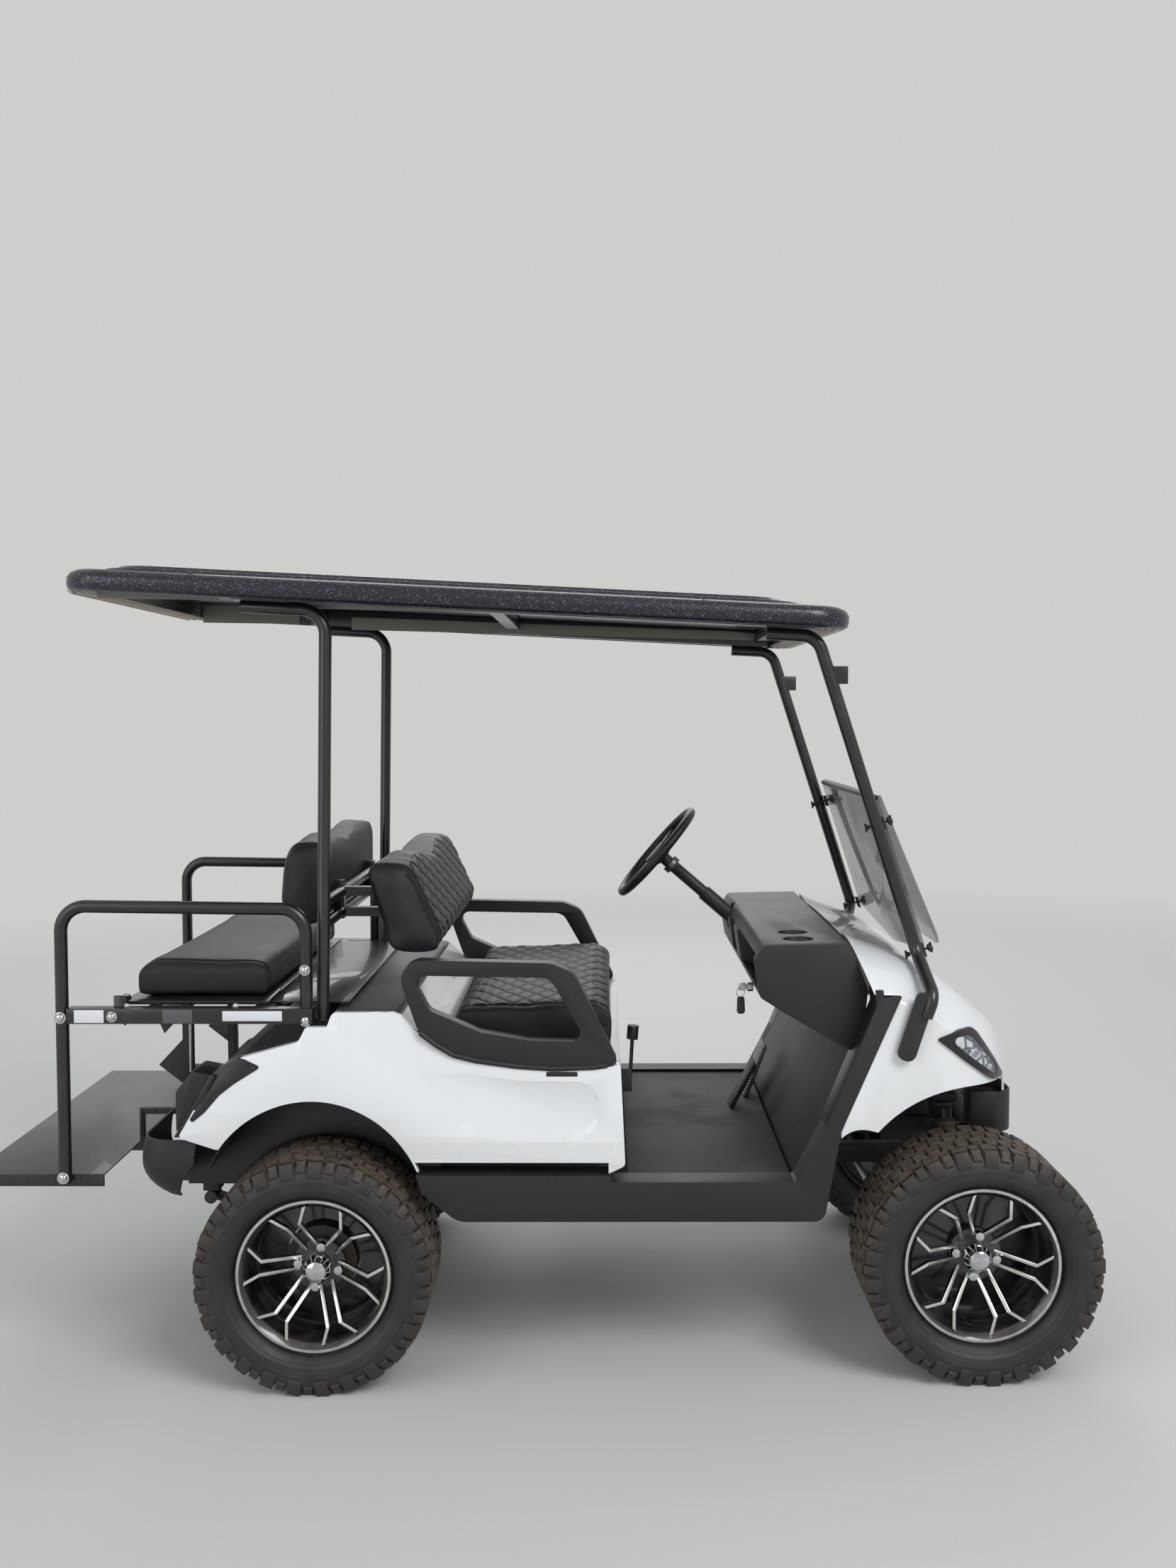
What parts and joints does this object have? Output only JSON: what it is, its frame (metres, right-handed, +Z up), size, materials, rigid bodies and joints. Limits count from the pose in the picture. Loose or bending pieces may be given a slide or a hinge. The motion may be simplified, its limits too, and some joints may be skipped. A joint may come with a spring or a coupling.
{
  "type": "four-seat golf cart",
  "caption": "Lifted golf cart with a long roof, a forward bench, a rear-facing flip seat, steered front wheels and a folded windscreen.",
  "frame": {"origin": "on the ground, at the middle of the bounding box", "axes": "+X forward, +Y to the cart's left, +Z up"},
  "size_m": [2.8114, 1.304, 2.0541],
  "materials": {
    "body_paint": "gloss white",
    "black_plastic": "fine textured black",
    "powder_coat": "satin black",
    "frame_paint": "black chassis paint",
    "roof_paint": "black with metal flake",
    "vinyl": "black vinyl",
    "smoked": "smoked",
    "lens": "clear lens",
    "lamp_black": "dark lamp housing",
    "tyre": "road worn",
    "rim": "gloss black with machined faces",
    "iron": "dark",
    "mat": "ribbed mat",
    "bare_steel": "dull",
    "tread_plate": "black tread plate"
  },
  "bodies": {
    "cart": {"chassis_frame": "frame_paint", "front_suspension": "frame_paint", "rear_axle": "iron", "rear_suspension": "frame_paint", "engine_block": "iron", "rear_body": "body_paint", "rear_bumper": "black_plastic", "tail_lamps": "lamp_black", "rocker_panels": "black_plastic", "floor_pan": "mat", "front_cowl": "body_paint", "front_bumper": "black_plastic", "headlamps": "lens", "dashboard": "black_plastic", "steering_column": "black_plastic", "footwell_panel": "black_plastic", "pedals": "bare_steel", "direction_lever": "black_plastic", "front_backrest": "vinyl", "rear_backrest": "vinyl", "hip_restraints": "black_plastic", "rear_seat_frame": "powder_coat", "grab_rails": "powder_coat", "foot_plate": "tread_plate", "cargo_deck": "tread_plate", "backrest_frame": "powder_coat", "roof": "roof_paint", "roof_rails": "powder_coat", "rear_struts": "powder_coat", "front_struts": "powder_coat", "windscreen_lower": "smoked", "windscreen_upper": "smoked", "windscreen_clips": "black_plastic"},
    "knuckle_right": {"knuckle_right": "frame_paint"},
    "knuckle_left": {"knuckle_left": "frame_paint"},
    "tie_rod": {"tie_rod": "bare_steel"},
    "steering_wheel": {"steering_wheel": "black_plastic"},
    "seat_lid": {"front_seat_base": "black_plastic", "front_seat_cushion": "vinyl"},
    "flip_seat": {"rear_flip_base": "tread_plate", "rear_seat_cushion": "vinyl"},
    "wheel_front_right": {"tyre_front_right": "tyre", "rim_front_right": "rim"},
    "wheel_front_left": {"tyre_front_left": "tyre", "rim_front_left": "rim"},
    "wheel_rear_right": {"tyre_rear_right": "tyre", "rim_rear_right": "rim"},
    "wheel_rear_left": {"tyre_rear_left": "tyre", "rim_rear_left": "rim"}
  },
  "joints": [
    {"name": "steer_right", "type": "hinge", "parent": "cart", "child": "knuckle_right", "pos_m": [1.1155, -0.42, 0.292], "axis": [0, 0, 1], "range_deg": [-28, 28]},
    {"name": "steer_left", "type": "hinge", "parent": "cart", "child": "knuckle_left", "pos_m": [1.1155, 0.42, 0.292], "axis": [0, 0, 1], "range_deg": [-28, 28]},
    {"name": "tie_rod_ball", "type": "hinge", "parent": "knuckle_right", "child": "tie_rod", "pos_m": [0.9655, -0.394, 0.269], "axis": [0, 0, 1], "range_deg": [-28, 28]},
    {"name": "roll_front_right", "type": "hinge", "parent": "knuckle_right", "child": "wheel_front_right", "pos_m": [1.1155, -0.527, 0.292], "axis": [0, 1, 0], "continuous": true},
    {"name": "roll_front_left", "type": "hinge", "parent": "knuckle_left", "child": "wheel_front_left", "pos_m": [1.1155, 0.527, 0.292], "axis": [0, 1, 0], "continuous": true},
    {"name": "roll_rear_right", "type": "hinge", "parent": "cart", "child": "wheel_rear_right", "pos_m": [-0.5225, -0.527, 0.292], "axis": [0, 1, 0], "continuous": true},
    {"name": "roll_rear_left", "type": "hinge", "parent": "cart", "child": "wheel_rear_left", "pos_m": [-0.5225, 0.527, 0.292], "axis": [0, 1, 0], "continuous": true},
    {"name": "steering_wheel_turn", "type": "hinge", "parent": "cart", "child": "steering_wheel", "pos_m": [0.37089, 0.29, 1.23279], "axis": [-0.7449, 0, 0.6672], "range_deg": [-420, 420]},
    {"name": "seat_lid_hinge", "type": "hinge", "parent": "cart", "child": "seat_lid", "pos_m": [0.19797, 0, 0.85689], "axis": [0, 1, 0], "range_deg": [0, 70]},
    {"name": "flip_seat_hinge", "type": "hinge", "parent": "cart", "child": "flip_seat", "pos_m": [-1.00532, 0, 0.96096], "axis": [0, -1, 0], "range_deg": [0, 180]}
  ],
  "couplings": [
    {"joint": "steer_left", "follows": "steer_right", "ratio": 1},
    {"joint": "tie_rod_ball", "follows": "steer_right", "ratio": -1},
    {"joint": "steering_wheel_turn", "follows": "steer_right", "ratio": 15}
  ]
}
